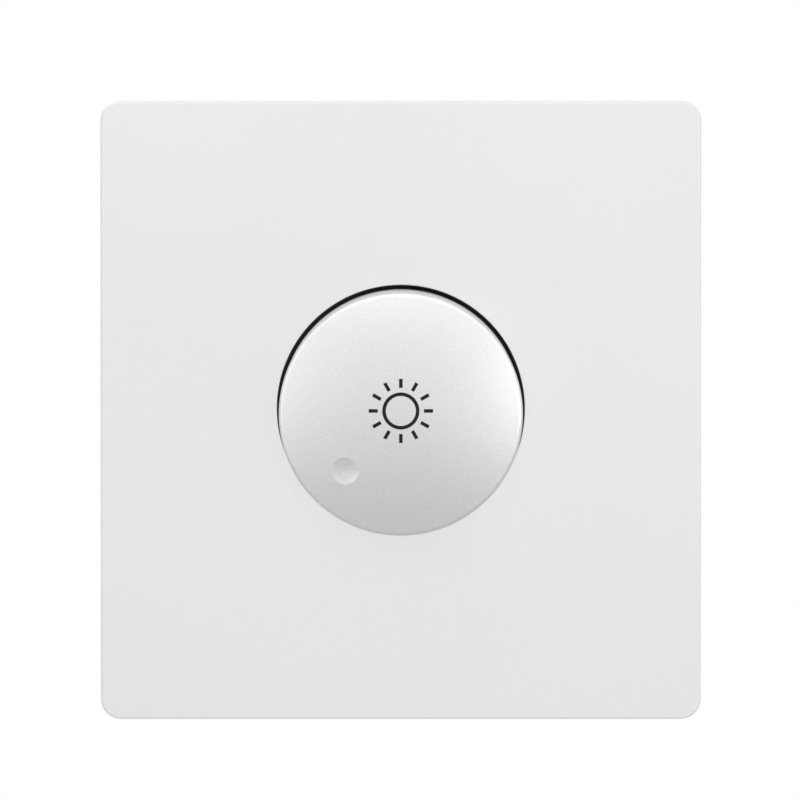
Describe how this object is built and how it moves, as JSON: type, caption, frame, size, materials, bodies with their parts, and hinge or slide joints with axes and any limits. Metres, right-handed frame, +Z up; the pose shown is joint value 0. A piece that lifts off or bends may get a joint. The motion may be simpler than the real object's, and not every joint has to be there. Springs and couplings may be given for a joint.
{
  "type": "rotary dimmer wall switch",
  "caption": "Square white wall plate with a large domed round knob that turns, and a dark module behind it that goes into the wall box.",
  "frame": {"origin": "midway between the two fixing slots, on the knob's axis, in the plane of the wall's surface", "axes": "-Y out of the wall towards the room, +Z up, +X to the right as seen from the room"},
  "size_m": [0.086, 0.0501, 0.0888],
  "materials": {
    "white_plastic": "satin moulded plastic",
    "pearl_paint": "satin pearl paint on plastic",
    "charcoal_plastic": "matt",
    "grey_plastic": "matt",
    "aluminium_sheet": "mill finish",
    "zinc_screw": "zinc plated",
    "spring_steel": "polished",
    "nickel_plate": "nickel plated",
    "die_cast": "cast and plated",
    "carrier_plastic": "natural",
    "bronze": "phosphor bronze",
    "paper_laminate": "laminate",
    "board_laminate": "laminate",
    "brass": "turned",
    "black_epoxy": "moulded",
    "tinned_copper": "tinned",
    "ferrite": "sintered",
    "enamelled_wire": "enamelled copper",
    "film_box": "moulded",
    "resistor_body": "lacquered",
    "glass": "clear",
    "diode_glass": "glass"
  },
  "bodies": {
    "switch_base": {"cover_plate": "white_plastic", "mounting_frame": "charcoal_plastic", "heat_sink": "aluminium_sheet", "rear_housing": "grey_plastic", "housing_screws": "zinc_screw", "pot_bushing": "die_cast", "bushing_washer": "zinc_screw", "bushing_nut": "nickel_plate", "pot_case": "nickel_plate", "track_board": "paper_laminate", "pot_tags": "tinned_copper", "switch_module": "black_epoxy", "switch_pins": "tinned_copper", "circuit_board": "board_laminate", "board_screws": "zinc_screw", "terminal_block_live": "brass", "terminal_block_load": "brass", "terminal_screw_live": "zinc_screw", "terminal_screw_load": "zinc_screw", "triac_tab": "tinned_copper", "triac_body": "black_epoxy", "triac_leads": "tinned_copper", "triac_screw": "zinc_screw", "choke_core": "ferrite", "choke_winding": "enamelled_wire", "filter_capacitor": "film_box", "timing_capacitor": "film_box", "resistors": "resistor_body", "trigger_diode": "diode_glass", "fuse_tube": "glass", "fuse_caps": "nickel_plate", "fuse_clips": "spring_steel"},
    "knob_assembly": {"knob": "pearl_paint", "knob_spring": "spring_steel", "shaft": "nickel_plate", "shaft_clip": "spring_steel", "wiper_carrier": "carrier_plastic", "wiper_contacts": "bronze"}
  },
  "joints": [
    {"name": "knob_turn", "type": "hinge", "parent": "switch_base", "child": "knob_assembly", "pos_m": [0, 0, 0], "axis": [0, 1, 0], "range_deg": [0, 270]}
  ]
}
